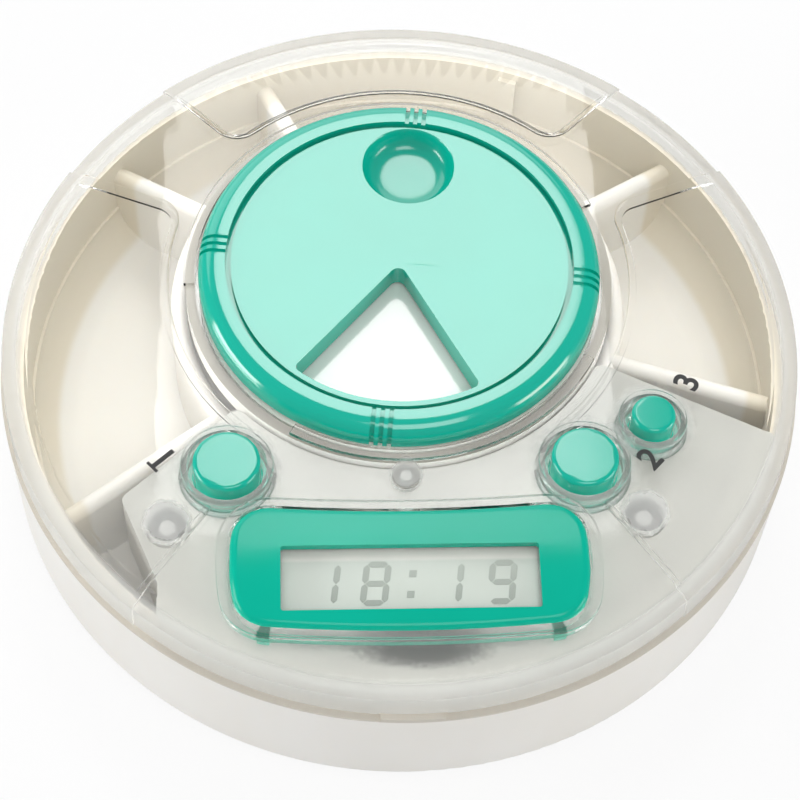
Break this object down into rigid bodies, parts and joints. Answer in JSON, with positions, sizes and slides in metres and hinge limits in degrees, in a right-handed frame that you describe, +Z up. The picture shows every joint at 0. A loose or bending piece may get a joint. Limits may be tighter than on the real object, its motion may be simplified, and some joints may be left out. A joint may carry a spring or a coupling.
{
  "type": "pill dispenser",
  "caption": "Round pill box with a white compartment tray, clear cover, hand-turned dial with wedge window, clock display and push buttons.",
  "frame": {"origin": "on the table, under the middle of the round tray", "axes": "+Z up, -Y the side with the display and buttons"},
  "size_m": [0.1304, 0.1304, 0.0318],
  "materials": {
    "tray_white": "satin moulded plastic",
    "rubber_grey": "matte",
    "clear_plastic": "clear moulded plastic",
    "plate_white": "gloss",
    "green_plastic": "gloss",
    "lcd_grey": "smooth",
    "frosted_grey": "fine texture",
    "board_green": "solder mask",
    "contact_gold": "plated",
    "black_plastic": "matte",
    "bright_metal": "plated steel",
    "capacitor_tan": "ceramic",
    "silicone": "matte"
  },
  "bodies": {
    "base": {"base_tray": "tray_white", "rubber_feet": "rubber_grey"},
    "cover": {"clear_cover": "clear_plastic", "outlet_plate": "plate_white", "display_bezel": "green_plastic", "display_lens": "clear_plastic", "lcd_panel": "lcd_grey", "lcd_connector": "rubber_grey", "electronics_panel": "frosted_grey", "electronics_housing": "frosted_grey", "circuit_board": "board_green", "contact_pads": "contact_gold", "clock_chip": "black_plastic", "clock_crystal": "bright_metal", "board_capacitors": "capacitor_tan", "buzzer": "black_plastic", "coin_cell": "bright_metal", "cell_holder": "black_plastic", "cell_contact_top": "bright_metal", "cell_contact_side": "bright_metal", "housing_screws": "bright_metal", "panel_screw": "bright_metal", "board_screws": "bright_metal", "button_pad_1": "silicone", "button_pad_2": "silicone", "button_pad_3": "silicone"},
    "dial": {"selector_dial": "green_plastic", "dial_retainer": "plate_white"},
    "button_1": {"button_1": "green_plastic"},
    "button_2": {"button_2": "green_plastic"},
    "button_3": {"button_3": "green_plastic"},
    "battery_cap": {"battery_cap": "frosted_grey"}
  },
  "joints": [
    {"name": "cover_lift", "type": "slide", "parent": "base", "child": "cover", "axis": [0, 0, 1], "range_m": [0, 0.04]},
    {"name": "dial_turn", "type": "hinge", "parent": "cover", "child": "dial", "pos_m": [0, 0.0116, 0.028], "axis": [0, 0, 1], "continuous": true},
    {"name": "button_1_press", "type": "slide", "parent": "cover", "child": "button_1", "axis": [0, 0, -1], "range_m": [0, 0.0009], "stiffness_N_per_m": 700, "springref_m": -0.0007, "deforming": ["button_pad_1"]},
    {"name": "button_2_press", "type": "slide", "parent": "cover", "child": "button_2", "axis": [0, 0, -1], "range_m": [0, 0.0009], "stiffness_N_per_m": 700, "springref_m": -0.0007, "deforming": ["button_pad_2"]},
    {"name": "button_3_press", "type": "slide", "parent": "cover", "child": "button_3", "axis": [0, 0, -1], "range_m": [0, 0.0009], "stiffness_N_per_m": 700, "springref_m": -0.0007, "deforming": ["button_pad_3"]},
    {"name": "battery_cap_turn", "type": "hinge", "parent": "cover", "child": "battery_cap", "pos_m": [-0.008, -0.043, 0.0113], "axis": [0, 0, 1], "range_deg": [0, 40]}
  ]
}
